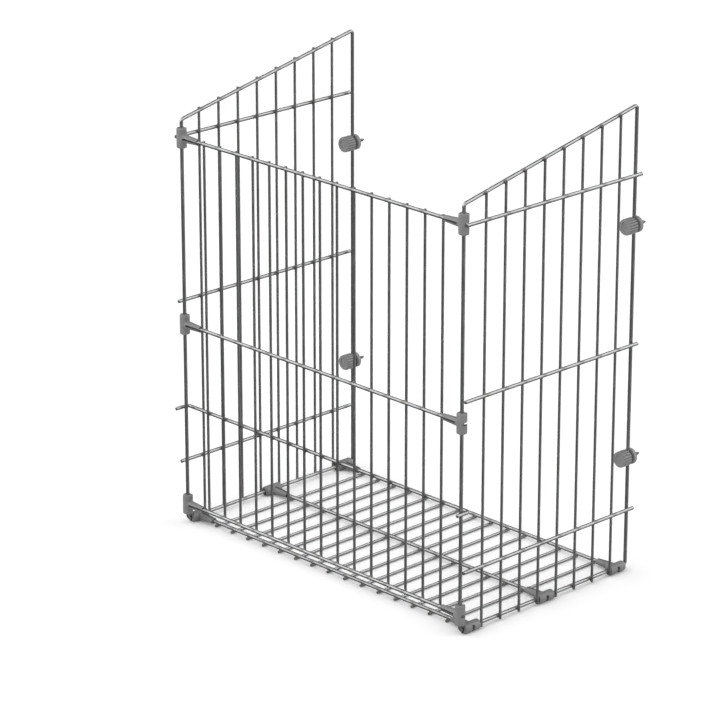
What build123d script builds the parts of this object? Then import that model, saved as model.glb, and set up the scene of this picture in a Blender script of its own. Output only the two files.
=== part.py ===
from build123d import *
import os
from math import cos, pi, sin, sqrt

# Tilt-out wire basket in millimetres. X runs left to right across the front, Y from the front
# panel back to the door that the basket hangs on, and Z up. The top and the back are open.
# Two side panels carry a front panel and a floor panel. Snap clips join the panels, and four
# clamps with wood screws hold the rear uprights of the side panels to the door.
os.makedirs("parts", exist_ok=True)

# --- Overall sizes, from wire centre to wire centre
WIDTH = 419.0  # left rear upright to right rear upright
DEPTH = 250.0  # front upright to rear upright of a side panel
FRONT_HEIGHT = 454.3  # bottom wire to the top corner at the front
TOP_RISE = 52.0  # from there up to the top corner at the rear

# --- Wire stock and welds
HEAVY_WIRE = 4.0  # diameter of frames and rails
LIGHT_WIRE = 3.0  # diameter of uprights and floor bars
WELD_SINK = 0.1  # how far two welded wires press into each other
CORNER_BEND = 4.0  # bend radius at the two bottom corners of a side frame
TOP_BEND = 3.0  # bend radius at its two top corners
TIP = 3.2  # how far a light wire runs on past the centre of the wire it ends on
TOP_TIP = 1.8  # the same at the upper end of an upright

# --- Side panels. The upper side rails are level with the front's top rail, and the middle ones
# are halfway between them and the lower ones
SIDE_UPRIGHTS = 8
LOWER_SIDE_RAIL = 65.9  # height above the bottom wire
SIDE_RAIL_TIP = 2.6  # how far a side rail runs on past the frame uprights

# --- Front panel
FRONT_UPRIGHTS = 15
END_BAY = 31.7  # from a side frame to the nearest front upright
TOP_RAIL_DROP = 20.0  # from the top corner at the front down to the top rail
MIDDLE_RAIL = 225.8  # height above the bottom wire
STIFFENER_HEIGHT = 129.5
STIFFENER_BEND = 4.0
STIFFENER_CLEARANCE = 0.6  # between a stiffener leg and the side frame it passes
LEG_REACH = 10.5  # how far the legs stand in front of the side frames' uprights

# --- Snap clips
CLIP_DIAMETER = 11.0
CLIP_LENGTH = 22.0
CLIP_ROUNDING = 1.2
CLIP_BLEND = 1.0  # radius where the sleeve grows out of the barrel
CLIP_FIT = 0.05  # radial clearance round each wire
CLIP_END_GAP = 0.15  # between a floor clip and the bend beside it
CLIP_STACK_GAP = 0.8  # between a bottom front clip and the floor clip below it
UPRIGHT_RELIEF = 0.1  # round a side upright that a floor clip would meet
SLEEVE_REACH = 26.0  # from the side frame's wire to the sleeve's free end
SLEEVE_ROOT = 9.6  # sleeve diameter where it leaves the barrel
SLEEVE_TIP = 6.8  # sleeve diameter at its free end
SLEEVE_ROUNDING = 0.4
SLEEVE_MOUTH = 2.6  # width of the groove that the rail snaps in through
SLEEVE_FLARE = 0.7  # widening of the hole at the free end
RAIL_STOP = 5.0  # from the side frame's wire to the end of a rail
NOTCH_GAP = 0.2  # above and below a side rail that ends between the two snap fingers
BARREL_MOUTH = 3.0  # width of the opening that the side frame's wire snaps in through

# --- Clamps on the rear uprights
CLAMP_SPACING = 256.0  # upper clamp to lower clamp
LOWER_CLAMP = 122.5  # height above the bottom wire
POST_DIAMETER = 8.0
POST_FRONT = 9.5  # how far the split post stands in front of the upright
SLOT_CLEARANCE = 0.1  # on each side of the upright in the post's slot
THREAD_PITCH = 1.25
LOOSEN_TURNS = 3
SEAT_DIAMETER = 17.4
SEAT_THICKNESS = 3.8
SEAT_GROOVE = 0.8  # depth of the saddle that holds the upright
SEAT_ROUNDING = 1.2
SEAT_FIT = 0.05  # radial clearance round the post
SCREW_DIAMETER = 3.5
SCREW_LENGTH = 13.2  # from the seat's rear face to the screw's tip
SCREW_POINT = 5.0
WASHER_DIAMETER = 12.0
WASHER_THICKNESS = 1.2
WASHER_GAP = 0.3  # to the upright in front and to the knob
RUNNING_GAP = 0.3  # radial clearance of washer and knob round the post
KNOB_DIAMETER = 17.4
KNOB_FRONT = 14.0  # from the upright's centre to the knob's face
KNOB_RIM_GAP = 0.5  # from the upright to the knob's rear rim
KNOB_ROUNDING = 1.0
KNOB_FLUTES = 18
FLUTE_DIAMETER = 1.8
FLUTE_SINK = 0.55  # how deep a flute cuts
KNOB_CAP = 2.4  # thickness of the knob's closed end
DISH_DIAMETER = 10.0
DISH_DEPTH = 0.8

# --- Worked out from the sizes above
HEAVY_R = HEAVY_WIRE / 2
LIGHT_R = LIGHT_WIRE / 2
CROSSING = HEAVY_R + LIGHT_R - WELD_SINK  # centre to centre where a light wire crosses a heavy one
SIDE_X = WIDTH / 2
REAR_HEIGHT = FRONT_HEIGHT + TOP_RISE
TOP_RAIL = FRONT_HEIGHT - TOP_RAIL_DROP
BOTTOM_RAIL = CLIP_DIAMETER / 2 + CLIP_STACK_GAP + CLIP_LENGTH / 2
UPRIGHT_PITCH = (WIDTH - 2 * END_BAY) / (FRONT_UPRIGHTS - 1)
# The basket stands on the lips of its floor clips, so the bottom wires are this high
BASE_Z = sqrt((CLIP_DIAMETER / 2) ** 2 - (BARREL_MOUTH / 2) ** 2)
SEAT_FRONT = HEAVY_R - SEAT_GROOVE  # all clamp places are behind the upright's centre
SEAT_REAR = SEAT_FRONT + SEAT_THICKNESS
REAR_REACH = SEAT_REAR + SCREW_LENGTH
FRONT_Y = (LEG_REACH - DEPTH - REAR_REACH) / 2  # the origin is in the middle of the footprint
REAR_Y = FRONT_Y + DEPTH
FLOOR_INSET = CORNER_BEND + CLIP_END_GAP + CLIP_LENGTH / 2
FLOOR_RAIL_YS = {
    "front": FRONT_Y + FLOOR_INSET,
    "middle": (FRONT_Y + REAR_Y) / 2,
    "rear": REAR_Y - FLOOR_INSET,
}
FRONT_RAIL_ZS = {
    "top": BASE_Z + TOP_RAIL,
    "middle": BASE_Z + MIDDLE_RAIL,
    "bottom": BASE_Z + BOTTOM_RAIL,
}
SIDE_RAIL_ZS = {
    "upper": BASE_Z + TOP_RAIL,
    "middle": BASE_Z + (TOP_RAIL + LOWER_SIDE_RAIL) / 2,
    "lower": BASE_Z + LOWER_SIDE_RAIL,
}
SIDE_UPRIGHT_YS = [FRONT_Y + DEPTH * n / (SIDE_UPRIGHTS + 1) for n in range(1, SIDE_UPRIGHTS + 1)]
CLAMP_ZS = {"upper": BASE_Z + LOWER_CLAMP + CLAMP_SPACING, "lower": BASE_Z + LOWER_CLAMP}
SIDES = {"left": -1, "right": 1}
BAR_XS = [(n - (FRONT_UPRIGHTS - 1) / 2) * UPRIGHT_PITCH for n in range(FRONT_UPRIGHTS)]


def straight_wire(start, end, diameter):
    """A round wire with square-cut ends from start to end."""
    run = Vector(*end) - Vector(*start)
    return Solid.make_cylinder(diameter / 2, run.length, Plane(origin=start, z_dir=run))


def bent_wire(path, diameter):
    """A round wire that follows a path of straight runs and tangent bends."""
    section = Plane(origin=path @ 0, z_dir=path % 0) * Circle(diameter / 2)
    return sweep(section, path=path).solid()


def rod(radius, start, end, x=0.0, z=0.0):
    """A cylinder along Y from start to end."""
    return Solid.make_cylinder(radius, end - start, Plane(origin=(x, start, z), z_dir=(0, 1, 0)))


def slope_height(y):
    """Height of the sloping top wire's centre at y."""
    return BASE_Z + FRONT_HEIGHT + TOP_RISE * (y - FRONT_Y) / DEPTH


# --- Side panels


def side_frame(side):
    """One closed loop of heavy wire: front upright, sloping top, rear upright and bottom."""
    x = side * SIDE_X
    corners = [
        (x, REAR_Y, BASE_Z),
        (x, REAR_Y, BASE_Z + REAR_HEIGHT),
        (x, FRONT_Y, BASE_Z + FRONT_HEIGHT),
        (x, FRONT_Y, BASE_Z),
    ]
    bends = [CORNER_BEND, TOP_BEND, TOP_BEND, CORNER_BEND]
    path = FilletPolyline(*corners, radius=bends, close=True)
    return bent_wire(path, HEAVY_WIRE)


def side_uprights(side):
    """Light uprights welded to the outside of the frame, at equal gaps along its depth."""
    x = side * (SIDE_X + CROSSING)
    wires = []
    for y in SIDE_UPRIGHT_YS:
        wires.append(straight_wire((x, y, BASE_Z - TIP), (x, y, slope_height(y) + TOP_TIP), LIGHT_WIRE))
    return Compound(wires)


def side_rail(side, z):
    """A heavy rail welded across the outside of the side uprights."""
    x = side * (SIDE_X + 2 * CROSSING)
    ends = (FRONT_Y - SIDE_RAIL_TIP, REAR_Y + SIDE_RAIL_TIP)
    return straight_wire((x, ends[0], z), (x, ends[1], z), HEAVY_WIRE)


# --- Front and floor panels


def cross_rail(y, z):
    """A heavy rail from side to side, whose ends sit in the sleeves of two clips."""
    reach = SIDE_X - RAIL_STOP
    return straight_wire((-reach, y, z), (reach, y, z), HEAVY_WIRE)


def front_uprights():
    """Light uprights welded to the rear of the front rails."""
    y = FRONT_Y + CROSSING
    low, high = FRONT_RAIL_ZS["bottom"] - TIP, FRONT_RAIL_ZS["top"] + TOP_TIP
    return Compound([straight_wire((x, y, low), (x, y, high), LIGHT_WIRE) for x in BAR_XS])


def floor_bars():
    """Light bars welded under the floor rails, in line with the front uprights."""
    z = BASE_Z - CROSSING
    front, rear = FLOOR_RAIL_YS["front"] - TIP, FLOOR_RAIL_YS["rear"] + TIP
    return Compound([straight_wire((x, front, z), (x, rear, z), LIGHT_WIRE) for x in BAR_XS])


def front_stiffener():
    """A heavy wire welded behind the front uprights, with both ends bent forward."""
    x = SIDE_X + HEAVY_WIRE + STIFFENER_CLEARANCE
    y = FRONT_Y + 2 * CROSSING
    z = BASE_Z + STIFFENER_HEIGHT
    tip = FRONT_Y - LEG_REACH
    path = FilletPolyline((-x, tip, z), (-x, y, z), (x, y, z), (x, tip, z), radius=STIFFENER_BEND)
    return bent_wire(path, HEAVY_WIRE)


# --- Snap clips


def notch_height():
    """The gap between a clip's fingers, from how far an upper side rail reaches into its barrel."""
    bite = min(max(CLIP_DIAMETER / 2 + HEAVY_R - 2 * CROSSING, 0), HEAVY_R)
    return 2 * sqrt(HEAVY_R**2 - (HEAVY_R - bite) ** 2) + 2 * NOTCH_GAP


def clip():
    """A right-hand clip: barrel along Z at the origin with its mouth to +Y, sleeve along -X with
    its groove to -Y. The notch that parts the barrel's two fingers is on the side away from both.
    """
    barrel = Cylinder(CLIP_DIAMETER / 2, CLIP_LENGTH)
    barrel = fillet(barrel.edges().filter_by(GeomType.CIRCLE), CLIP_ROUNDING)
    inward = Plane(origin=(0, 0, 0), z_dir=(-1, 0, 0))
    sleeve = Solid.make_cone(SLEEVE_ROOT / 2, SLEEVE_TIP / 2, SLEEVE_REACH, inward)
    sleeve = fillet(sleeve.edges().filter_by(GeomType.CIRCLE).sort_by(Axis.X)[0:1], SLEEVE_ROUNDING)
    outside = barrel + sleeve
    curves = outside.edges().filter_by(GeomType.CIRCLE, reverse=True)
    joint_line = curves.filter_by(GeomType.LINE, reverse=True)
    outside = fillet(joint_line, CLIP_BLEND)
    hole = HEAVY_R + CLIP_FIT
    pocket_start = RAIL_STOP - CLIP_FIT
    pocket = Solid.make_cylinder(
        hole, SLEEVE_REACH - pocket_start, Plane(origin=(-pocket_start, 0, 0), z_dir=(-1, 0, 0))
    )
    flare = Solid.make_cone(
        hole + SLEEVE_FLARE, hole, SLEEVE_FLARE, Plane(origin=(-SLEEVE_REACH, 0, 0), z_dir=(1, 0, 0))
    )
    groove_length = SLEEVE_REACH - CLIP_DIAMETER / 2
    groove = Pos(-CLIP_DIAMETER / 2 - groove_length / 2, -SLEEVE_ROOT / 4, 0) * Box(
        groove_length, SLEEVE_ROOT / 2, SLEEVE_MOUTH
    )
    notch = Pos(-hole, -SIDE_RAIL_TIP - NOTCH_GAP, 0) * Box(
        CLIP_DIAMETER, CLIP_DIAMETER, notch_height(), align=(Align.MIN, Align.MIN, Align.CENTER)
    )
    mouth = Pos(0, CLIP_DIAMETER / 4, 0) * Box(BARREL_MOUTH, CLIP_DIAMETER / 2, CLIP_LENGTH)
    body = outside - Cylinder(hole, CLIP_LENGTH) - pocket - flare - groove - notch - mouth
    return body.solid()


def front_clip(side, z):
    """A clip on a side frame's front upright. Left ones are mirrored."""
    shape = clip() if side > 0 else mirror(clip(), about=Plane.YZ)
    return Pos(side * SIDE_X, FRONT_Y, z) * shape


def floor_clip(side, y):
    """A clip on a side frame's bottom wire, mouth down, cut clear of any side upright it meets."""
    shape = clip() if side > 0 else mirror(clip(), about=Plane.YZ)
    shape = Pos(side * SIDE_X, y, BASE_Z) * Rot(-90, 0, 0) * shape
    radius = LIGHT_R + UPRIGHT_RELIEF
    for upright_y in SIDE_UPRIGHT_YS:
        if abs(upright_y - y) < CLIP_LENGTH / 2 + radius:
            shape -= Pos(side * (SIDE_X + CROSSING), upright_y, BASE_Z) * Cylinder(radius, 2 * CLIP_DIAMETER)
    return shape.solid()


# --- Clamps. Each is made with its upright's centre at the origin


def clamp_post():
    """A split post with a slot for the upright, and a wood screw that stands out behind it."""
    post = rod(POST_DIAMETER / 2, -POST_FRONT, SEAT_REAR)
    slot_width = HEAVY_WIRE + 2 * SLOT_CLEARANCE
    slot_rear = HEAVY_R + SLOT_CLEARANCE
    slot = Pos(0, (slot_rear - POST_FRONT) / 2, 0) * Box(
        slot_width, slot_rear + POST_FRONT, POST_DIAMETER
    )
    shank = rod(SCREW_DIAMETER / 2, SEAT_REAR, REAR_REACH - SCREW_POINT)
    point = Solid.make_cone(
        SCREW_DIAMETER / 2, 0, SCREW_POINT, Plane(origin=(0, REAR_REACH - SCREW_POINT, 0), z_dir=(0, 1, 0))
    )
    return (post - slot + shank + point).solid()


def clamp_seat():
    """A round seat on the post, flat against the door, with a saddle for the upright."""
    seat = rod(SEAT_DIAMETER / 2, SEAT_FRONT, SEAT_REAR)
    rims = seat.edges().filter_by(GeomType.CIRCLE).sort_by(Axis.Y)
    seat = fillet(rims[0:1], SEAT_ROUNDING)
    hole = rod(POST_DIAMETER / 2 + SEAT_FIT, SEAT_FRONT, SEAT_REAR)
    saddle = Cylinder(HEAVY_R + SEAT_FIT, SEAT_DIAMETER)
    return (seat - hole - saddle).solid()


def clamp_washer():
    """A ring that presses on the upright and doesn't turn with the knob."""
    rear = -HEAVY_R - WASHER_GAP
    front = rear - WASHER_THICKNESS
    ring = rod(WASHER_DIAMETER / 2, front, rear) - rod(POST_DIAMETER / 2 + RUNNING_GAP, front, rear)
    return ring.solid()


def knob_flutes(front, rear):
    """The round grooves along a knob's grip."""
    orbit = KNOB_DIAMETER / 2 + FLUTE_DIAMETER / 2 - FLUTE_SINK
    places = [2 * pi * n / KNOB_FLUTES for n in range(KNOB_FLUTES)]
    return [rod(FLUTE_DIAMETER / 2, front, rear, orbit * cos(a), orbit * sin(a)) for a in places]


def clamp_knob():
    """A fluted knob with a dished face, a blind hole for the post and a recess for the washer."""
    front, rear = -KNOB_FRONT, -HEAVY_R - KNOB_RIM_GAP
    grip = rod(KNOB_DIAMETER / 2, front, rear)
    face_rim = grip.edges().filter_by(GeomType.CIRCLE).sort_by(Axis.Y)[0:1]
    knob = fillet(face_rim, KNOB_ROUNDING)
    for flute in knob_flutes(front, rear):
        knob -= flute
    recess_floor = -HEAVY_R - 2 * WASHER_GAP - WASHER_THICKNESS
    knob -= rod(WASHER_DIAMETER / 2 + RUNNING_GAP, recess_floor, rear)
    knob -= rod(POST_DIAMETER / 2 + RUNNING_GAP, front + DISH_DEPTH + KNOB_CAP, recess_floor)
    knob -= rod(DISH_DIAMETER / 2, front, front + DISH_DEPTH)
    return knob.solid()


def save(name, shape):
    export_step(shape, f"parts/{name}.step")
    print(name, len(shape.solids()), "solids", round(shape.volume / 1000, 3), "cm3")


def save_side_panels():
    for name, side in SIDES.items():
        save(f"{name}_side_frame", side_frame(side))
        save(f"{name}_side_uprights", side_uprights(side))
        for level, z in SIDE_RAIL_ZS.items():
            save(f"{name}_{level}_side_rail", side_rail(side, z))


def save_front_panel():
    save("front_uprights", front_uprights())
    save("front_stiffener", front_stiffener())
    for level, z in FRONT_RAIL_ZS.items():
        save(f"front_{level}_rail", cross_rail(FRONT_Y, z))


def save_floor_panel():
    save("floor_bars", floor_bars())
    for level, y in FLOOR_RAIL_YS.items():
        save(f"floor_{level}_rail", cross_rail(y, BASE_Z))


def save_clips():
    for name, side in SIDES.items():
        for level, z in FRONT_RAIL_ZS.items():
            save(f"{name}_{level}_front_clip", front_clip(side, z))
        for level, y in FLOOR_RAIL_YS.items():
            save(f"{name}_{level}_floor_clip", floor_clip(side, y))


def save_clamps():
    pieces = {"post": clamp_post(), "seat": clamp_seat(), "washer": clamp_washer(), "knob": clamp_knob()}
    for name, side in SIDES.items():
        for level, z in CLAMP_ZS.items():
            for piece, shape in pieces.items():
                save(f"{name}_{level}_clamp_{piece}", Pos(side * SIDE_X, REAR_Y, z) * shape)


save_side_panels()
save_front_panel()
save_floor_panel()
save_clips()
save_clamps()
print("front", FRONT_Y, "rear", REAR_Y, "stands from 0 to", BASE_Z + REAR_HEIGHT + HEAVY_R)
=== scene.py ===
# %% [markdown]
# A tilt-out wire basket, dressed for a studio picture.
#
# The basket is bent and welded out of round plated wire. Snap clips of grey plastic hold the
# front and the floor to the two side panels, and four clamps with fluted knobs hold the basket
# to the back of a door. The design is already packed as a frame of plain solids. This lesson
# puts the finished surfaces round that frame: drawn wire with welds, moulded knobs, threaded
# screws, and one finish for every material. Lengths are in metres, as the frame's are.

import bmesh
import bpy
import numpy as np
from mathutils import Euler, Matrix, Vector


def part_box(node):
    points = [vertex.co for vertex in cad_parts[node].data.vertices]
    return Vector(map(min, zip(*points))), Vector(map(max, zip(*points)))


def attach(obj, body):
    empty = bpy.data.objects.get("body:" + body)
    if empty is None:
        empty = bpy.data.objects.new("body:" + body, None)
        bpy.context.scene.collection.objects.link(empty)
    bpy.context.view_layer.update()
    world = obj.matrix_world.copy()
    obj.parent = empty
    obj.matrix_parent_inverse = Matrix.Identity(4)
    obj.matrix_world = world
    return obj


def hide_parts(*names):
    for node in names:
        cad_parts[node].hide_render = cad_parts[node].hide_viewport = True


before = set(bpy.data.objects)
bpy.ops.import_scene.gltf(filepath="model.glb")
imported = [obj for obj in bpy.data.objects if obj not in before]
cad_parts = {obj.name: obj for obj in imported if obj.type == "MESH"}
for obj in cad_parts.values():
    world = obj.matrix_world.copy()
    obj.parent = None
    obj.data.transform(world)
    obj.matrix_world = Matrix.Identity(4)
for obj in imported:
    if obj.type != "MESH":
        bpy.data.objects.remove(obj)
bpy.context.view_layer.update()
MM = 0.001


# %% [markdown]
# ## The camera
#
# The basket is seen from the front right and from above, so that the front panel, the right
# side panel and the floor all show. A long lens from almost four metres away keeps the wires
# nearly parallel, as a catalogue picture does. The camera looks at a fixed point in the
# basket, and its place follows from two angles and a distance.


# %% Camera
AIM = Vector((-0.0244, -0.0451, 0.2168))
AZIMUTH = np.radians(46.145)
ELEVATION = np.radians(19.702)
DISTANCE = 3.811
LENS = 180.0
SENSOR = 36.0
FAR_ENOUGH = 50.0

camera = bpy.data.objects.new("camera", bpy.data.cameras.new("camera"))
camera.data.lens = LENS
camera.data.sensor_width = SENSOR
camera.data.clip_end = FAR_ENOUGH
level = np.cos(ELEVATION)
away = Vector((np.sin(AZIMUTH) * level, -np.cos(AZIMUTH) * level, np.sin(ELEVATION)))
camera.location = AIM + DISTANCE * away
camera.rotation_euler = Euler((np.pi / 2 - ELEVATION, 0, AZIMUTH))
bpy.context.scene.collection.objects.link(camera)
bpy.context.scene.camera = camera
print("camera at", tuple(round(v, 3) for v in camera.location))


# %% [markdown]
# ## From arrays to a mesh
#
# Every new piece is a surface of two parameters: rows run along the piece, columns run round
# it. A table of points is worked out for the whole grid at once, and each cell of the table
# becomes one four-sided face. A piece may hold many such surfaces, such as the fifteen bars
# of a panel. Each corner of each face also gets a UV, in metres, so that a finish can follow
# the wire: U goes round and V goes along. Rows that shrink to a point are merged, which closes
# the ends.


# %% Grids to faces
CELL_CORNERS = np.array([(0, 0), (0, 1), (1, 1), (1, 0)])  # steps in row and column, going round


def cell_corners(rows, columns, row_wrap):
    """Row and column of each cell's corners: (i, j), (i, j+1), (i+1, j+1) and (i+1, j). Columns wrap
    round, and rows may too, so the last cells reach one past the last point."""
    i, j = np.meshgrid(np.arange(rows if row_wrap else rows - 1), np.arange(columns), indexing="ij")
    return i[..., None] + CELL_CORNERS[:, 0], j[..., None] + CELL_CORNERS[:, 1]


def grid_faces(rows, columns, row_wrap):
    """The four point numbers of each cell. Point (i, j) is number i times the columns, plus j."""
    i, j = cell_corners(rows, columns, row_wrap)
    return (i % rows * columns + j % columns).reshape(-1, 4)


def grid_uvs(rows, columns, row_wrap, girth, lengths):
    """The UV of each face corner: distance round the piece, and distance along it."""
    i, j = cell_corners(rows, columns, row_wrap)
    return np.stack([j * girth / columns, lengths[i]], axis=-1).reshape(-1, 2)


class Surface:
    """One grid of points with its faces, UVs and a mark per point, from 0 to 1, for the finish."""

    def __init__(self, points, girth, lengths, row_wrap=False, mark=None):
        rows, columns = points.shape[:2]
        self.points = points.reshape(-1, 3)
        self.faces = grid_faces(rows, columns, row_wrap)
        self.uvs = grid_uvs(rows, columns, row_wrap, girth, lengths)
        self.mark = np.zeros(rows * columns) if mark is None else mark.reshape(-1)


print("a tube of 3 rows and 4 columns has", len(grid_faces(3, 4, False)), "faces")


# %% Faces to a finished piece
SMOOTH_ANGLE = np.radians(38)
MERGE = 1e-7


def make_piece(name, surfaces, finish, body, replaces):
    """Joins surfaces into one object, closes its poles, and puts it into the frame."""
    starts = np.cumsum([0] + [len(s.points) for s in surfaces[:-1]])
    points = np.concatenate([s.points for s in surfaces])
    faces = np.concatenate([s.faces + start for s, start in zip(surfaces, starts)])
    mesh = bpy.data.meshes.new(name)
    mesh.from_pydata(points, [], faces)
    mesh.uv_layers.new(name="round_and_along")
    uvs = np.concatenate([s.uvs for s in surfaces]).astype(np.float32)
    mesh.uv_layers[0].uv.foreach_set("vector", uvs.ravel())
    mark = mesh.attributes.new("mark", "FLOAT", "POINT")
    mark.data.foreach_set("value", np.concatenate([s.mark for s in surfaces]).astype(np.float32))

    work = bmesh.new()
    work.from_mesh(mesh)
    bmesh.ops.remove_doubles(work, verts=work.verts, dist=MERGE)
    bmesh.ops.recalc_face_normals(work, faces=work.faces)
    work.to_mesh(mesh)
    work.free()
    mesh.polygons.foreach_set("use_smooth", np.ones(len(mesh.polygons), bool))
    mesh.set_sharp_from_angle(angle=SMOOTH_ANGLE)
    mesh.materials.append(finish)

    piece = bpy.data.objects.new(name, mesh)
    bpy.context.scene.collection.objects.link(piece)
    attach(piece, body)
    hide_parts(*replaces)
    print(name, len(mesh.polygons), "faces on", body)


# %% [markdown]
# ## Finishes
#
# A finish is a Principled shader with a few textures in front of it. The small helpers below
# keep each recipe readable: one adds a node and fills its sockets, one does a sum, one turns a
# noise into a range of values, one makes a smooth step, one mixes two colours, and one turns a
# noise into fine relief. The studio's world is made of the same kinds of nodes, so the helpers
# that it shares come first. Values that are the same all over a surface go straight onto the
# shader's own sockets.


# %% Helpers for any node tree
class Recipe:
    """A node tree and short ways to add to it. A socket is filled by another socket or by a value."""

    def __init__(self, tree):
        self.tree = tree

    def fill(self, socket, source):
        if isinstance(source, bpy.types.NodeSocket):
            self.tree.links.new(source, socket)
        else:
            socket.default_value = source

    def add(self, kind, sockets=None, **fields):
        """Adds a node. Fields are its own settings, and sockets are what fills its inputs."""
        node = self.tree.nodes.new(kind)
        for field, value in fields.items():
            setattr(node, field, value)
        for socket, source in (sockets or {}).items():
            self.fill(node.inputs[socket], source)
        return node

    def maths(self, operation, *sources):
        """One sum, such as a product or the larger of two values."""
        return self.add("ShaderNodeMath", dict(enumerate(sources)), operation=operation).outputs["Value"]

    def spread(self, source, low, high, start=0.3, end=0.7, **fields):
        """Maps values from start to end, where most of a noise lies, onto values from low to high."""
        sockets = {"Value": source, "From Min": start, "From Max": end, "To Min": low, "To Max": high}
        return self.add("ShaderNodeMapRange", sockets, **fields).outputs["Result"]

    def step(self, source, ends):
        """A smooth step from 0 to 1 between two values."""
        return self.spread(source, 0.0, 1.0, *ends, interpolation_type="SMOOTHSTEP")

    def blend(self, factor, first, second):
        """A colour between two. A colour mix has its factor and its colours at sockets 0, 6 and 7."""
        return self.add("ShaderNodeMix", {0: factor, 6: first, 7: second}, data_type="RGBA").outputs[2]


def grey(value, warm=0.0):
    """A linear grey, slightly warmer above zero and slightly cooler below."""
    return (value * (1 + warm), value, value * (1 - warm), 1.0)


print("a middle grey is", grey(0.2))


# %% Helpers for finishes
class Finish(Recipe):
    """A new material with its Principled shader."""

    def __init__(self, name, **sockets):
        self.material = bpy.data.materials.new(name)
        self.material.use_nodes = True
        super().__init__(self.material.node_tree)
        self.shader = self.tree.nodes["Principled BSDF"]
        for socket, value in sockets.items():
            self.feed(socket.replace("_", " "), value)
        self.place = self.add("ShaderNodeTexCoord").outputs["Object"]

    def feed(self, socket, source):
        """Fills one of the shader's own sockets."""
        self.fill(self.shader.inputs[socket], source)

    def noise(self, scale, detail=2.0, vector=None):
        """Noise in the piece's own space, unless another vector is given. Scale is per metre."""
        sockets = {"Vector": vector or self.place, "Scale": scale, "Detail": detail}
        return self.add("ShaderNodeTexNoise", sockets).outputs["Fac"]

    def mark(self):
        """The mark from 0 to 1 that each point of a new piece carries."""
        return self.add("ShaderNodeAttribute", attribute_name="mark").outputs["Fac"]

    def relief(self, height, depth, strength, under=None):
        """Fine relief from a height between 0 and 1, where 1 stands depth metres high."""
        sockets = {"Height": height, "Distance": depth, "Strength": strength}
        if under is not None:
            sockets["Normal"] = under
        return self.add("ShaderNodeBump", sockets).outputs["Normal"]


# %% [markdown]
# ### Plated wire
#
# The wire is steel, drawn through a die and bright plated. Drawing leaves hair lines along its
# length. The plating clouds a little, has a few dark pits, and is duller and browner round each
# weld, where the heat went. The hair lines are relief from a noise that is squeezed round the
# wire and stretched along it, so they need the wire's own UV. The heat comes from the mark that
# each wire carries.


# %% Finish for plated wire
HAIR_LINES = (5200.0, 70.0, 1.0)  # lines per metre round the wire, and per metre along it
DULL_PLATE = grey(0.33)
BRIGHT_PLATE = grey(0.42, -0.02)
PITTED = grey(0.12)
HEATED = grey(0.18, 0.08)


def plated_wire():
    f = Finish("plated_wire", Metallic=1.0, Specular_Tint=grey(0.55))
    uv = f.add("ShaderNodeUVMap", uv_map="round_and_along").outputs["UV"]
    stretched = f.add("ShaderNodeMapping", {"Vector": uv, "Scale": HAIR_LINES}).outputs["Vector"]
    hair_lines = f.noise(1.0, 3.0, stretched)
    clouds = f.noise(60.0, 4.0)
    pits = f.noise(1700.0)
    heat = f.mark()

    plate = f.blend(f.spread(clouds, 0.0, 1.0), DULL_PLATE, BRIGHT_PLATE)
    plate = f.blend(f.spread(pits, 0.0, 0.15, 0.62, 0.72), plate, PITTED)
    f.feed("Base Color", f.blend(f.spread(heat, 0.0, 0.7, 0.0, 1.0), plate, HEATED))
    f.feed("Roughness", f.maths("MULTIPLY_ADD", heat, 0.14, f.spread(clouds, 0.2, 0.3)))
    f.feed("Normal", f.relief(hair_lines, 0.012 * MM, 0.5, f.relief(clouds, 0.1 * MM, 0.1)))
    return f.material


wire_finish = plated_wire()
print("finish", wire_finish.name)


# %% [markdown]
# ### Moulded plastic
#
# Clips and knobs are moulded in mid-grey plastic. The mould's spark-eroded steel leaves a fine,
# even grain, the colour is slightly uneven where the melt flowed, and handling polishes a few
# places. The clips are smooth satin and the knobs coarser, so one recipe makes both, with
# different values. A knob's grooves carry a mark, and the base colour is darkened by it as
# painted shade in the grooves. The frame's own solids have sharp edges, and a small bevel in
# the shader catches light along them as a real moulding's edges do.


# %% Finish for moulded plastic
SOFT_EDGE = 0.3 * MM


def moulded_plastic(name, shade, grain, grain_depth, gloss):
    """Shade is the plastic's grey, grain is per metre, and gloss is its lowest roughness."""
    f = Finish(name, Metallic=0.0, IOR=1.47, Coat_Weight=0.03, Coat_Roughness=0.3)
    flow = f.noise(45.0, 4.0)
    specks = f.noise(grain)
    polish = f.noise(130.0, 3.0)
    body = f.blend(f.spread(flow, 0.0, 1.0), grey(shade * 0.9), grey(shade * 1.1))
    body = f.blend(f.spread(specks, 0.0, 0.25, 0.55, 0.75), body, grey(shade * 0.6))
    # Painted shade: the base colour goes darker where the mark is high, in the bottoms of a knob's flutes.
    f.feed("Base Color", f.blend(f.spread(f.mark(), 0.0, 0.85, 0.1, 0.9), body, grey(shade * 0.3)))
    f.feed("Roughness", f.spread(polish, gloss, gloss + 0.14))
    soft_edges = f.add("ShaderNodeBevel", {"Radius": SOFT_EDGE}, samples=4).outputs["Normal"]
    f.feed("Normal", f.relief(specks, grain_depth, 0.5, soft_edges))
    return f.material


clip_finish = moulded_plastic("clip_plastic", 0.17, 2600.0, 0.03 * MM, 0.38)
knob_finish = moulded_plastic("knob_plastic", 0.21, 1900.0, 0.05 * MM, 0.4)
print("finishes", clip_finish.name, knob_finish.name)


# %% [markdown]
# ### Zinc-plated steel
#
# The posts, screws and washers are zinc plated in a barrel and passivated, which leaves a dark,
# slightly blue grey with a small spangle and tumbling marks. A Voronoi pattern gives the
# spangle, and a noise in the piece's own space gives the marks.


# %% Finish for zinc-plated steel
DARK_ZINC = grey(0.17)
PALE_ZINC = grey(0.27, -0.03)


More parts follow.
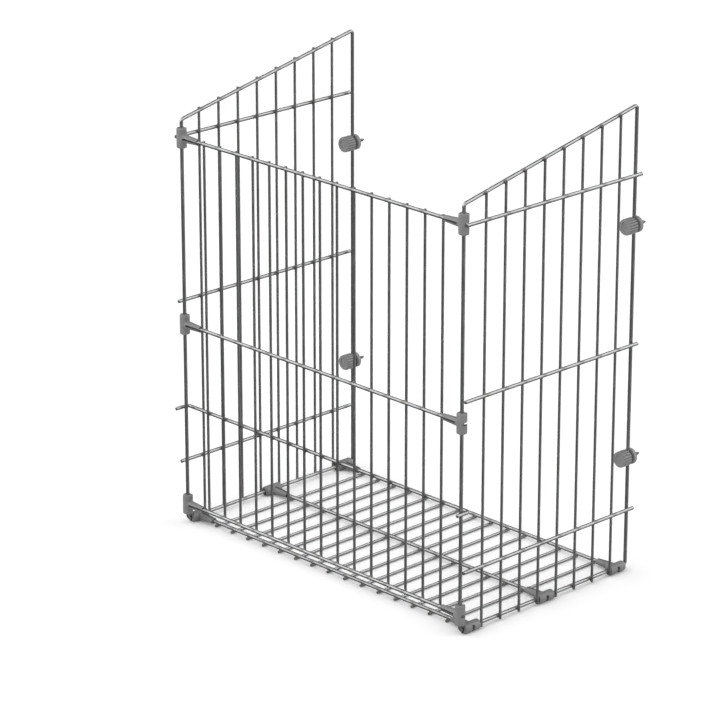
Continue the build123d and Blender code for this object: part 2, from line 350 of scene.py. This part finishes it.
def zinc_plated_steel():
    f = Finish("zinc_steel", Metallic=1.0)
    spangle = f.add("ShaderNodeTexVoronoi", {"Vector": f.place, "Scale": 1300.0}).outputs["Color"]
    grain = f.add("ShaderNodeRGBToBW", {"Color": spangle}).outputs["Val"]
    marks = f.noise(900.0, 3.0)
    f.feed("Base Color", f.blend(f.spread(grain, 0.0, 1.0, 0.2, 0.8), DARK_ZINC, PALE_ZINC))
    f.feed("Roughness", f.spread(marks, 0.3, 0.5))
    f.feed("Normal", f.relief(marks, 0.03 * MM, 0.5))
    return f.material


steel_finish = zinc_plated_steel()
print("finish", steel_finish.name)


# %% [markdown]
# ## Reading the wires from the frame
#
# A wire needs its two ends and its radius. The frame's nodes hold them: a rail's points give
# both at once, and a node with many parallel wires falls apart into groups of points that lie
# close together across the wires. Sorting the points by that coordinate and cutting where it
# jumps finds each group.


# %% Straight wires of a node
X, Y, Z = 0, 1, 2
JUMP = 4 * MM  # a wider jump than this parts two wires


def box(node):
    """The lowest and the highest corner of a node."""
    return np.array(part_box(node))


def node_points(node):
    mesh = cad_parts[node].data
    points = np.empty(len(mesh.vertices) * 3, np.float32)
    mesh.vertices.foreach_get("co", points)
    return points.reshape(-1, 3).astype(float)


def straight_wires(node, run, across):
    """Start, end and radius of each wire of a node. Wires run along one axis and lie side by side
    along another."""
    points = node_points(node)
    points = points[np.argsort(points[:, across])]
    jumps = np.flatnonzero(np.diff(points[:, across]) > JUMP) + 1
    wires = []
    for group in np.split(points, jumps):
        low, high = group.min(axis=0), group.max(axis=0)
        start, end = (low + high) / 2, (low + high) / 2
        start[run], end[run] = low[run], high[run]
        wires.append((start, end, (high[across] - low[across]) / 2))
    return wires


print("the top front rail is", round(straight_wires("front_top_rail", X, Z)[0][2] / MM, 3), "mm in radius")


# %% All straight wires of the basket
SIDES = {"left": -1, "right": 1}
FRONT_RAILS = ["front_top_rail", "front_middle_rail", "front_bottom_rail"]
FLOOR_RAILS = ["floor_front_rail", "floor_middle_rail", "floor_rear_rail"]
SIDE_RAILS = ["upper_side_rail", "middle_side_rail", "lower_side_rail"]
front_bars = straight_wires("front_uprights", Z, X)
floor_bars = straight_wires("floor_bars", Y, X)
side_bars = {side: straight_wires(f"{side}_side_uprights", Z, Y) for side in SIDES}
rails = {node: straight_wires(node, X, Z)[0] for node in FRONT_RAILS + FLOOR_RAILS}
side_rails = {
    side: {f"{side}_{rail}": straight_wires(f"{side}_{rail}", Y, Z)[0] for rail in SIDE_RAILS}
    for side in SIDES
}
print(len(front_bars), "front bars", len(floor_bars), "floor bars", len(side_bars["left"]), "bars a side")


# %% [markdown]
# The side frame is a closed loop with four corners, and its sloping top can't be read from a
# box. The side bars all end at the same small height above it, so a line through their upper
# ends has its slope. Its level follows from the frame's own points: none of them lies higher
# over that slope than the wire's radius reaches.


# %% Corners of a side frame
BOTTOM_BEND = 4 * MM
TOP_BEND = 3 * MM


def frame_corners(side):
    """The loop's four sharp corners and its radius."""
    low, high = box(f"{side}_side_frame")
    radius = (high[X] - low[X]) / 2
    x = (low[X] + high[X]) / 2
    front, rear, bottom = low[Y] + radius, high[Y] - radius, low[Z] + radius
    tops = np.array([end for _, end, _ in side_bars[side]])
    rise = np.polyfit(tops[:, Y], tops[:, Z], 1)[0]
    points = node_points(f"{side}_side_frame")
    base = (points[:, Z] - rise * points[:, Y]).max() - radius * np.hypot(1, rise)
    corners = [
        (x, front, bottom),
        (x, front, base + rise * front),
        (x, rear, base + rise * rear),
        (x, rear, bottom),
    ]
    return np.array(corners), radius


frames = {side: frame_corners(side) for side in SIDES}
print("side frame corners", np.round(frames["right"][0] / MM, 2).tolist())


# %% [markdown]
# ## Where wires are welded
#
# Each crossing is a resistance weld: two wires are pressed together and a current melts the
# spot where they touch. That spot lies on the rail's or the frame's surface, on the side where
# the bar is. Every weld gets a small squashed bead of metal, and marks both of its wires with
# heat.


# %% Weld places
def crossing(bar, rail, run, across):
    """The spot where a bar that runs along one axis touches a rail that runs along another. The two
    lie beside each other along the third axis, and the three axes' numbers add up to 3."""
    depth = 3 - run - across
    spot = np.zeros(3)
    spot[across] = bar[0][across]
    spot[run] = rail[0][run]
    spot[depth] = rail[0][depth] + np.sign(bar[0][depth] - rail[0][depth]) * rail[2]
    return spot


def frame_welds(side, bar):
    """The spots where a side bar touches the frame's sloping top wire and its bottom wire."""
    corners, radius = frames[side]
    x, y = corners[0, X] + SIDES[side] * radius, bar[0][Y]
    top = np.interp(y, corners[1:3, Y], corners[1:3, Z])
    return [np.array([x, y, top]), np.array([x, y, corners[0, Z]])]


stiffener_low, stiffener_high = box("front_stiffener")
STIFFENER_R = (stiffener_high[Z] - stiffener_low[Z]) / 2
stiffener_end = stiffener_high - STIFFENER_R
MIRROR = np.array([-1, 1, 1])
stiffener = (stiffener_end * MIRROR, stiffener_end, STIFFENER_R)

front_welds = [crossing(bar, rails[node], Z, X) for bar in front_bars for node in FRONT_RAILS]
front_welds += [crossing(bar, stiffener, Z, X) for bar in front_bars]
floor_welds = [crossing(bar, rails[node], Y, X) for bar in floor_bars for node in FLOOR_RAILS]
side_welds = {
    side: [crossing(bar, rail, Z, Y) for bar in side_bars[side] for rail in side_rails[side].values()]
    + [spot for bar in side_bars[side] for spot in frame_welds(side, bar)]
    for side in SIDES
}
all_welds = np.array(front_welds + floor_welds + side_welds["left"] + side_welds["right"])
print(len(all_welds), "welds")


# %% [markdown]
# ## Wire as a surface
#
# A wire is a circle carried along a path. A row of the grid is one circle, and rows stand where
# the wire needs them: close together near a weld, where the heat mark fades over a few
# millimetres and the pressed wire is a touch wider, and at the ends, where the shears leave a
# flat face with a small bruised edge.


# %% Heat and pressing at the welds
HEAT_REACH = 2.2 * MM
SET_DOWN = 0.025  # how much wider a wire is where it was pressed, as a share of its radius


def heat_at(places, radius):
    """Heat along a wire's centre line. It is a bell curve round each weld: 1 on it, and next to
    nothing after 6 mm. A weld lies on the wire's skin, so its distance along the wire is a side of
    a triangle: the root of the direct distance squared less the radius squared."""
    gaps = np.linalg.norm(places[:, None, :] - all_welds[None, :, :], axis=2)
    along = np.sqrt(np.maximum(gaps**2 - radius**2, 0))
    return np.exp(-((along / HEAT_REACH) ** 2) / 2).max(axis=1)


def pressed(radius, heat):
    """The radius along a wire: the full size where it was pressed, and a touch less between."""
    return radius * (1 - SET_DOWN * (1 - heat))


nearby = all_welds[0] + np.outer([0, 2, 4, 6], [0, 0, MM])
print("heat 0, 2, 4 and 6 mm from a weld", np.round(heat_at(nearby, 0), 2).tolist())


# %% Circles along a path
COLUMNS = 20
SHEARED_EDGE = 0.16  # chamfer of a cut end, as a share of the radius


def circle_rows(centres, tangents, flat, radii, heat, closed):
    """A surface of circles. Each circle is centre + r (flat cos a + side sin a), where flat is square
    to the whole path and side is square to flat and to the path's direction."""
    side = np.cross(tangents, flat)
    angle = np.linspace(0, 2 * np.pi, COLUMNS, endpoint=False)[None, :, None]
    spokes = flat * np.cos(angle) + side[:, None, :] * np.sin(angle)
    points = centres[:, None, :] + radii[:, None, None] * spokes
    stops = np.append(centres, centres[:1], axis=0) if closed else centres
    steps = np.linalg.norm(np.diff(stops, axis=0), axis=1)
    lengths = np.append(0, np.cumsum(steps))
    heat = np.repeat(heat[:, None], COLUMNS, axis=1)
    return Surface(points, 2 * np.pi * radii.max(), lengths, closed, heat)


def cut_ends(centres, tangents, radii):
    """Adds the two rows of each sheared end: a point in the middle, and the chamfer's inner edge."""
    chamfer = SHEARED_EDGE * radii.max()
    inner = radii.max() * (1 - SHEARED_EDGE)
    head, tail = centres[0], centres[-1]
    body = centres.copy()
    body[0] += chamfer * tangents[0]
    body[-1] -= chamfer * tangents[-1]
    centres = np.concatenate([[head, head], body, [tail, tail]])
    tangents = np.concatenate([tangents[[0, 0]], tangents, tangents[[-1, -1]]])
    radii = np.concatenate([[0, inner], radii, [inner, 0]])
    return centres, tangents, radii


def swept_wire(centres, tangents, radius, flat, closed=False):
    """A wire along a path, a touch wider at its welds. Its ends are sheared, or it is a closed loop."""
    radii = pressed(radius, heat_at(centres, radius))
    if not closed:
        centres, tangents, radii = cut_ends(centres, tangents, radii)
    return circle_rows(centres, tangents, flat, radii, heat_at(centres, radius), closed)


print("a circle has", COLUMNS, "columns")


# %% Straight wires
WELD_ROWS = np.array([-7, -4, -2.4, -1.2, 0, 1.2, 2.4, 4, 7]) * MM
TOUCH = 0.4 * MM  # how far off a wire's skin a weld may lie and still be on that wire
DECIMALS = 6  # rows less than a thousandth of a millimetre apart become one


def weld_rows(start, direction, length, radius, margin):
    """Distances from start of the rows round each weld on a straight run, clear of both its ends."""
    offsets = all_welds - start
    mine = offsets[np.linalg.norm(np.cross(offsets, direction), axis=1) < radius + TOUCH]
    rows = (mine @ direction)[:, None] + WELD_ROWS
    return rows[(rows > margin) & (rows < length - margin)]


def straight_wire(wire, flat):
    """A straight wire with rows at its ends and round each of its welds."""
    start, end, radius = wire
    length = np.linalg.norm(end - start)
    run = (end - start) / length
    rows = weld_rows(start, run, length, radius, 2 * SHEARED_EDGE * radius)
    rows = np.unique(np.round(np.append(rows, [0, length]), DECIMALS))
    tangents = np.tile(run, (len(rows), 1))
    return swept_wire(start + rows[:, None] * run, tangents, radius, flat)


AXES = np.eye(3)
print("a front bar has", len(straight_wire(front_bars[0], AXES[X]).faces), "faces")


# %% [markdown]
# A bent wire is the same surface on a path with rounded corners. Each corner is replaced by an
# arc that touches both of its legs. The arc starts as far before the corner as it ends after
# it, which is the bend's radius times the tangent of half the turn.


# %% Bent wires
ARC_ROWS = 12
LEG_MARGIN = 1 * MM  # a leg's first row stands clear of its bend by this much


def corner_arc(before, corner, after, radius):
    """Points and directions of the arc that rounds a corner."""
    into = (corner - before) / np.linalg.norm(corner - before)
    out = (after - corner) / np.linalg.norm(after - corner)
    turn = np.arccos(np.clip(into @ out, -1, 1))
    reach = radius * np.tan(turn / 2)
    inward = (out - into @ out * into) / np.sin(turn)
    centre = corner - reach * into + radius * inward
    angle = np.linspace(0, turn, ARC_ROWS)[:, None]
    points = centre + radius * (np.sin(angle) * into - np.cos(angle) * inward)
    return points, np.cos(angle) * into + np.sin(angle) * inward


def leg_rows(start, end, direction, radius):
    """Points and directions of the rows round each weld on a straight leg between two bends."""
    rows = weld_rows(start, direction, np.linalg.norm(end - start), radius, LEG_MARGIN)
    rows = np.unique(np.round(rows, DECIMALS))
    return start + rows[:, None] * direction, np.tile(direction, (len(rows), 1))


def bent_wire(corners, bends, radius, flat, closed):
    """A wire round several corners. An open one ends at its first and last corner, unbent."""
    count = len(corners)
    turning = range(count) if closed else range(1, count - 1)
    arcs = [corner_arc(corners[n - 1], corners[n], corners[(n + 1) % count], bends[n]) for n in turning]
    if not closed:
        first, last = arcs[0][1][:1], arcs[-1][1][-1:]
        arcs = [(corners[:1], first)] + arcs + [(corners[-1:], last)]
    stretches = []
    for arc, following in zip(arcs, arcs[1:] + arcs[:1]):
        stretches += [arc, leg_rows(arc[0][-1], following[0][0], arc[1][-1], radius)]
    if not closed:
        stretches.pop()
    centres = np.concatenate([points for points, _ in stretches])
    tangents = np.concatenate([directions for _, directions in stretches])
    return swept_wire(centres, tangents, radius, flat, closed)


print("a bend takes", ARC_ROWS, "rows")


# %% [markdown]
# ## Weld beads
#
# A bead is the metal that was squeezed out as two wires sank together. From close by it is a
# flat oval cushion, a little longer than the thin wire is wide. There are about two hundred, so
# each is a coarse grid of six by eight faces, an ellipsoid with its three half axes along the
# rail, the bar and the gap between them.


# %% Beads
BEAD_HALF = np.array([2.15, 2.0, 0.85]) * MM  # along the rail, along the bar, through the gap
BEAD_ROWS, BEAD_COLUMNS = 7, 8
BEAD_HEAT = 0.8


def bead(spot, rail_axis, bar_axis):
    """An ellipsoid: x = a sin t cos p along the rail, y = b sin t sin p along the bar, z = c cos t."""
    t = np.linspace(0, np.pi, BEAD_ROWS)[:, None]
    p = np.linspace(0, 2 * np.pi, BEAD_COLUMNS, endpoint=False)[None, :]
    local = [np.sin(t) * np.cos(p), np.sin(t) * np.sin(p), np.cos(t) + 0 * p]
    points = np.zeros((BEAD_ROWS, BEAD_COLUMNS, 3)) + spot
    for axis, half, share in zip((rail_axis, bar_axis, 3 - rail_axis - bar_axis), BEAD_HALF, local):
        points[..., axis] += half * share
    lengths = np.linspace(0, np.pi * BEAD_HALF[0], BEAD_ROWS)
    mark = np.full((BEAD_ROWS, BEAD_COLUMNS), BEAD_HEAT)
    return Surface(points, 2 * np.pi * BEAD_HALF[0], lengths, mark=mark)


print("a bead has", len(bead(all_welds[0], X, Z).faces), "faces")


# %% [markdown]
# ## The wire panels
#
# Bars and their beads become one piece per panel, because the welds join them for good. Every
# rail is a piece of its own, as it is in the frame, and so are the stiffener, which is bent
# forward at both ends, and the two closed side loops.


# %% Front and floor panels
def wire_piece(name, surfaces, node):
    make_piece(name, surfaces, wire_finish, "basket", [node])


surfaces = [straight_wire(wire, AXES[X]) for wire in front_bars]
surfaces += [bead(spot, X, Z) for spot in front_welds]
wire_piece("front_bars_welded", surfaces, "front_uprights")

surfaces = [straight_wire(wire, AXES[X]) for wire in floor_bars]
surfaces += [bead(spot, X, Y) for spot in floor_welds]
wire_piece("floor_bars_welded", surfaces, "floor_bars")

for node, wire in rails.items():
    wire_piece(f"{node}_wire", [straight_wire(wire, AXES[Z])], node)


# %% Stiffener
STIFFENER_BEND = 4 * MM

tip = np.array([stiffener_end[X], stiffener_low[Y], stiffener_end[Z]])
corners = np.array([tip * MIRROR, stiffener_end * MIRROR, stiffener_end, tip])
bends = [0, STIFFENER_BEND, STIFFENER_BEND, 0]
surface = bent_wire(corners, bends, STIFFENER_R, AXES[Z], False)
wire_piece("front_stiffener_wire", [surface], "front_stiffener")


# %% Side panels
for side in SIDES:
    corners, radius = frames[side]
    bends = [BOTTOM_BEND, TOP_BEND, TOP_BEND, BOTTOM_BEND]
    loop = bent_wire(corners, bends, radius, AXES[X], True)
    wire_piece(f"{side}_side_loop", [loop], f"{side}_side_frame")
    surfaces = [straight_wire(wire, AXES[X]) for wire in side_bars[side]]
    surfaces += [bead(spot, Y, Z) for spot in side_welds[side]]
    wire_piece(f"{side}_side_bars", surfaces, f"{side}_side_uprights")

for side in SIDES:
    for node, wire in side_rails[side].items():
        wire_piece(f"{node}_wire", [straight_wire(wire, AXES[X])], node)


# %% [markdown]
# ## Turned shapes
#
# Knobs, washers and screws are turned shapes: a profile of radius and depth that goes round an
# axis. Here the axis runs through the clamp, along Y. A profile is a short list of corners, and
# corners that a mould or a lathe leaves soft are rounded by an arc, the same arc that bends a
# wire.


# %% Profiles
def soft_profile(corners):
    """A profile's points from corners (radius, depth, rounding). A rounding of 0 stays sharp."""
    spots = np.array([(radius, depth, 0) for radius, depth, _ in corners], float)
    points = []
    for n, (_, _, rounding) in enumerate(corners):
        if rounding == 0:
            points.append(spots[n : n + 1])
        else:
            points.append(corner_arc(spots[n - 1], spots[n], spots[n + 1], rounding)[0])
    return np.concatenate(points)[:, :2]


def turned(profile, centre, columns, cut=None):
    """Turns a profile round an axis along Y through centre: x = r cos a, z = r sin a, y = depth.
    A cut is how far below the largest radius each angle must stay, which makes the flutes, and
    its share of the deepest cut is the mark, which the knob's finish uses as painted shade in the flutes."""
    angle = np.linspace(0, 2 * np.pi, columns, endpoint=False)[None, :]
    radius, depth = profile[:, :1] + 0 * angle, profile[:, 1:] + 0 * angle
    mark = None
    if cut is not None:
        limit = radius.max() - cut[None, :]
        mark = np.where(radius > limit, cut / cut.max(), 0)
        radius = np.minimum(radius, limit)
    points = np.stack([radius * np.cos(angle), depth, radius * np.sin(angle)], axis=-1)
    steps = np.linalg.norm(np.diff(profile, axis=0), axis=1)
    lengths = np.append(0, np.cumsum(steps))
    return Surface(points + centre, 2 * np.pi * profile[:, 0].max(), lengths, mark=mark)


def turned_size(node):
    """The middle of the front, the radius and the length of a frame solid that was turned along Y."""
    low, high = box(node)
    middle = (low + high) / 2
    return np.array([middle[X], low[Y], middle[Z]]), (high[Z] - low[Z]) / 2, high[Y] - low[Y]


CLAMPS = [f"{side}_{height}" for side in SIDES for height in ("upper", "lower")]
for clamp in CLAMPS:
    print(clamp, "knob: front, radius and length", turned_size(f"{clamp}_clamp_knob"))


# %% [markdown]
# ## Knobs
#
# The knob is what a hand turns to press the clamp shut. Its grip has eighteen round flutes, its
# face is dished with a small moulding nib in the middle, and behind it are a recess for the
# washer and a blind hole for the post. One profile goes from the nib, over the rim and into the
# hole. Flutes only limit the radius, so they run out through the rounded rim by themselves, as
# a cutter's would.


# %% Knob
FLUTES = 18
FLUTE_R = 0.9 * MM
FLUTE_DEPTH = 0.55 * MM
FLUTE_COLUMNS = 12
DISH_R = 5.0 * MM
DISH_SLOPE = 0.35 * MM
DISH_DEPTH = 0.8 * MM
NIB_R = 1.1 * MM
NIB_HEIGHT = 0.25 * MM
FACE_ROUNDING = 1.0 * MM
REAR_ROUNDING = 0.45 * MM
KNOB_CAP = 2.4 * MM
RUNNING_GAP = 0.3 * MM


def flute_cut(radius):
    """The depth of the flutes at each angle. A flute is a round groove: at a distance d along the rim
    from its middle, it is as deep as the circle there, and at its edge that comes to nothing."""
    phase = np.arange(FLUTES * FLUTE_COLUMNS) / FLUTE_COLUMNS
    distance = (phase - np.round(phase)) * 2 * np.pi * radius / FLUTES
    depth = np.sqrt(np.maximum(FLUTE_R**2 - distance**2, 0)) - (FLUTE_R - FLUTE_DEPTH)
    return np.maximum(depth, 0)


def knob_profile(radius, length, recess_r, recess_depth, bore_r):
    """From the nib on the face to the blind end of the bore. Depth 0 is the face. Each corner is a
    radius, a depth and a rounding, and the small roundings are what a mould leaves."""
    nib_face = DISH_DEPTH - NIB_HEIGHT
    recess_floor = length - recess_depth
    blind_end = DISH_DEPTH + KNOB_CAP
    corners = [
        (0, nib_face, 0),
        (NIB_R, nib_face, 0.15 * MM),
        (NIB_R, DISH_DEPTH, 0.08 * MM),
        (DISH_R, DISH_DEPTH, 0.3 * MM),
        (DISH_R + DISH_SLOPE, 0, 0.25 * MM),
        (radius, 0, FACE_ROUNDING),
        (radius, length, REAR_ROUNDING),
        (recess_r, length, 0.2 * MM),
        (recess_r, recess_floor, 0.1 * MM),
        (bore_r, recess_floor, 0.2 * MM),
        (bore_r, blind_end, 0.3 * MM),
        (0, blind_end, 0),
    ]
    return soft_profile(corners)


def make_knob(clamp):
    centre, radius, length = turned_size(f"{clamp}_clamp_knob")
    washer_front, washer_r, _ = turned_size(f"{clamp}_clamp_washer")
    _, post_r, _ = turned_size(f"{clamp}_clamp_post")
    recess_depth = centre[Y] + length - washer_front[Y] + RUNNING_GAP
    profile = knob_profile(radius, length, washer_r + RUNNING_GAP, recess_depth, post_r + RUNNING_GAP)
    surface = turned(profile, centre, FLUTES * FLUTE_COLUMNS, flute_cut(radius))
    name = f"{clamp}_knob_moulding"
    make_piece(name, [surface], knob_finish, f"{clamp}_knob", [f"{clamp}_clamp_knob"])


for clamp in CLAMPS:
    make_knob(clamp)


# %% [markdown]
# ## Washers
#
# The washer spreads the knob's push over the wire. It is stamped, so one edge of each face is
# drawn round by the punch and the other is crisp. The profile is a closed ring, which starts
# and ends in the middle of the bore.


# %% Washer
WASHER_COLUMNS = 64
STAMPED_ROUNDING = 0.35 * MM
CRISP_EDGE = 0.06 * MM


def make_washer(clamp):
    centre, outer, thick = turned_size(f"{clamp}_clamp_washer")
    inner = turned_size(f"{clamp}_clamp_post")[1] + RUNNING_GAP
    corners = [
        (inner, thick / 2, 0),
        (inner, 0, CRISP_EDGE),
        (outer, 0, STAMPED_ROUNDING),
        (outer, thick, CRISP_EDGE),
        (inner, thick, STAMPED_ROUNDING),
        (inner, thick / 2, 0),
    ]
    surface = turned(soft_profile(corners), centre, WASHER_COLUMNS)
    name = f"{clamp}_washer_stamping"
    make_piece(name, [surface], steel_finish, f"{clamp}_washer", [f"{clamp}_clamp_washer"])


for clamp in CLAMPS:
    make_washer(clamp)


# %% [markdown]
# ## Posts and wood screws
#
# A clamp's post is split: two threaded prongs stand one on each side of the upright, and a wood
# screw grows out of the back. The outside of a prong is part of a threaded rod, and the inside
# is flat. So a prong's cross section is an arc and its chord, carried along Y, and the arc's
# radius follows the thread. A thread is a ridge that moves along the rod as it goes round: its
# height depends on the depth divided by the pitch, less the share of a turn.


# %% Prongs of the split post
POST_PITCH = 1.25 * MM
POST_THREAD = 0.3 * MM
POST_ROWS = 10  # rows in one pitch
CREST = 0.12  # flattens crest and root, each by about a tenth of the thread's height
PRONG_LEAD = 0.4 * MM  # how much the first turn of thread tapers, so that the knob goes on easily
ARC_COLUMNS = 30
CHORD_COLUMNS = 6


def ridge(phase):
    """A thread's height over one turn: 0 in the root, rising straight to a flat crest at 1."""
    triangle = np.abs(2 * (phase - np.floor(phase)) - 1)
    return np.clip(triangle * (1 + 2 * CREST) - CREST, 0, 1)


def prong(centre, hand, radius, half_slot, front, rear):
    """One prong, on the left (-1) or right (+1) of the slot. Its section goes along the arc from the
    slot's upper edge to its lower edge, and back up the flat."""
    rows = int((rear - front) / POST_PITCH * POST_ROWS)
    depth = np.linspace(front, rear, rows)[:, None]
    limit = np.arccos(half_slot / radius)
    angle = np.linspace(limit, -limit, ARC_COLUMNS)[None, :]
    turn = (angle if hand > 0 else np.pi - angle) / (2 * np.pi)
    lead = PRONG_LEAD * (1 - np.clip((depth - front) / POST_PITCH, 0, 1))
    reach = radius - POST_THREAD * (1 - ridge(depth / POST_PITCH - turn)) - lead
    arc_x, arc_z = np.maximum(reach * np.cos(angle), half_slot), reach * np.sin(angle)
    share = np.linspace(0, 1, CHORD_COLUMNS + 2)[None, 1:-1]
    flat_z = arc_z[:, -1:] + share * (arc_z[:, :1] - arc_z[:, -1:])
    section_x = np.concatenate([arc_x, np.full_like(flat_z, half_slot)], axis=1)
    section_z = np.concatenate([arc_z, flat_z], axis=1)
    points = np.stack([hand * section_x, depth + 0 * section_x, section_z], axis=-1) + centre
    middle = points.mean(axis=1, keepdims=True) + 0 * points
    points = np.concatenate([middle[:1], points, middle[-1:]])
    lengths = np.concatenate([[0], np.linspace(0, rear - front, rows), [rear - front]])
    return Surface(points, 2 * np.pi * radius, lengths)


# %% Wood screw
SCREW_R = 1.75 * MM
SCREW_PITCH = 1.45 * MM
SCREW_ROWS = 14  # rows in one pitch
SCREW_COLUMNS = 36
SCREW_CORE = 0.66  # core radius as a share of the thread's radius
SHARPNESS = 2.2  # a tapping thread's flanks are hollow, which makes its crest sharp
POINT_LENGTH = 3.6 * MM
POINT_BULGE = 0.65  # 1 is a straight cone, and less makes it fuller


def wood_screw(centre, start, tip):
    """A tapping thread: r = core + ridge, and both shrink together towards the point."""
    rows = int((tip - start) / SCREW_PITCH * SCREW_ROWS)
    depth = np.linspace(start, tip, rows)[:, None]
    turn = np.linspace(0, 1, SCREW_COLUMNS, endpoint=False)[None, :]
    taper = np.clip((tip - depth) / POINT_LENGTH, 0, 1) ** POINT_BULGE
    thread = ridge(depth / SCREW_PITCH - turn) ** SHARPNESS
    reach = SCREW_R * taper * (SCREW_CORE + (1 - SCREW_CORE) * thread)
    reach[:1] = 0
    angle = 2 * np.pi * turn
    points = np.stack([reach * np.cos(angle), depth + 0 * reach, reach * np.sin(angle)], axis=-1)
    return Surface(points + centre, 2 * np.pi * SCREW_R, depth[:, 0] - start)


# %% Post with its screw
SLOT_SIDE_GAP = 0.1 * MM
STUB_COLUMNS = 48
STUB_ROUNDING = 0.1 * MM
PRONG_ROOT = 0.2 * MM  # how far the prongs go into the stub behind the slot
SCREW_ROOT = 0.5 * MM  # how far the screw goes into the stub


def make_post(clamp):
    corners, wire_r = frames[clamp.split("_")[0]]
    front, radius, length = turned_size(f"{clamp}_clamp_post")
    seat_rear = box(f"{clamp}_clamp_seat")[1][Y]
    axis = front * (1, 0, 1)
    half_slot = wire_r + SLOT_SIDE_GAP
    slot_end = corners[2, Y] + half_slot
    prongs = [prong(axis, hand, radius, half_slot, front[Y], slot_end + PRONG_ROOT) for hand in (-1, 1)]
    stub = [(0, slot_end, 0), (radius, slot_end, STUB_ROUNDING), (radius, seat_rear, 0), (0, seat_rear, 0)]
    base = turned(soft_profile(stub), axis, STUB_COLUMNS)
    screw = wood_screw(axis, seat_rear - SCREW_ROOT, front[Y] + length)
    name = f"{clamp}_post_and_screw"
    make_piece(name, prongs + [base, screw], steel_finish, "basket", [f"{clamp}_clamp_post"])


for clamp in CLAMPS:
    make_post(clamp)


# %% [markdown]
# ## Pieces that keep the frame's own solids
#
# The snap clips and the clamps' seats already have their true shape in the frame, with their
# mouths, grooves and notches, so they only need their finish.


# %% Clips and seats
carried = [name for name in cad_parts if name.endswith(("_clip", "_clamp_seat"))]
for name in carried:
    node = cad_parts[name]
    node.data.materials.clear()
    node.data.materials.append(clip_finish if name.endswith("_clip") else knob_finish)
print(len(carried), "frame solids carried over")


# %% [markdown]
# ## The studio
#
# The floor is a wide pale sheet that fills the picture. Plated wire shows what stands round it
# rather than its own colour, so the room matters more than the lamps. Two tall soft walls of
# light stand left and right of the line of sight. A level wire mirrors one of them as a long
# bright streak between dark edges. An upright wire mirrors the dark below eye level, where
# only the right-hand side glows a little and gives each upright one lighter edge. The floor
# isn't seen in reflections, because a white floor would wash the uprights out. A wide lamp
# overhead and a smaller one in front model the clips and knobs and put a soft shadow under
# the basket.


# %% Floor
FLOOR_HALF = 6.0


def pale_floor():
    f = Finish("pale_floor", Roughness=0.75, Specular_IOR_Level=0.1)
    f.feed("Base Color", f.blend(f.spread(f.noise(3.0, 3.0), 0.0, 1.0), grey(0.86), grey(0.88)))
    mesh = bpy.data.meshes.new("floor")
    corners = np.array([(-1, -1, 0), (1, -1, 0), (1, 1, 0), (-1, 1, 0)])
    mesh.from_pydata(FLOOR_HALF * corners, [], [(0, 1, 2, 3)])
    mesh.materials.append(f.material)
    floor = bpy.data.objects.new("floor", mesh)
    bpy.context.scene.collection.objects.link(floor)
    floor.visible_glossy = False
    return floor


print("floor", pale_floor().name)


# %% Lamps
def soft_light(name, kind, place, power, **sizes):
    """A lamp that faces the basket."""
    lamp = bpy.data.lights.new(name, kind)
    lamp.energy = power
    for size, value in sizes.items():
        setattr(lamp, size, value)
    light = bpy.data.objects.new(name, lamp)
    light.location = place
    light.rotation_euler = (AIM - Vector(place)).to_track_quat("-Z", "Y").to_euler()
    bpy.context.scene.collection.objects.link(light)
    print("lamp", name, power)


soft_light("overhead", "SUN", (-0.6, -0.5, 3.6), 0.8, angle=np.radians(50))
soft_light("key", "AREA", (0.6, -2.6, 2.9), 30.0, size=1.6)


# %% Room
ROOM_DARK = grey(0.2)
WALL_LIGHT = grey(1.9)
WALL_EDGES = (0.3, 0.62)  # how far sideways a direction points where a wall starts and is full
WALL_FEET = (-0.1, 0.06)  # how far up it points there, from 0 at eye level to 1 straight up
GLOW = 0.14  # light below eye level on the right, as a share of the wall's


def lit_room():
    """Dark, with a wall of light on either side. A wall is a smooth step sideways times one upwards."""
    world = bpy.data.worlds.new("studio")
    world.use_nodes = True
    r = Recipe(world.node_tree)
    direction = r.add("ShaderNodeTexCoord").outputs["Generated"]
    right = (np.cos(AZIMUTH), np.sin(AZIMUTH), 0)
    sideways = r.add("ShaderNodeVectorMath", {0: direction, 1: right}, operation="DOT_PRODUCT")
    sideways = sideways.outputs["Value"]
    height = r.add("ShaderNodeSeparateXYZ", {"Vector": direction}).outputs["Z"]
    either_side = r.step(r.maths("ABSOLUTE", sideways), WALL_EDGES)
    walls = r.maths("MULTIPLY", either_side, r.step(height, WALL_FEET))
    glow = r.maths("MULTIPLY", r.step(sideways, WALL_EDGES), GLOW)
    colour = r.blend(r.maths("MAXIMUM", walls, glow), ROOM_DARK, WALL_LIGHT)
    r.fill(r.tree.nodes["Background"].inputs["Color"], colour)
    return world


bpy.context.scene.world = lit_room()
bpy.context.scene.view_settings.view_transform = "Standard"
print("room", bpy.context.scene.world.name)
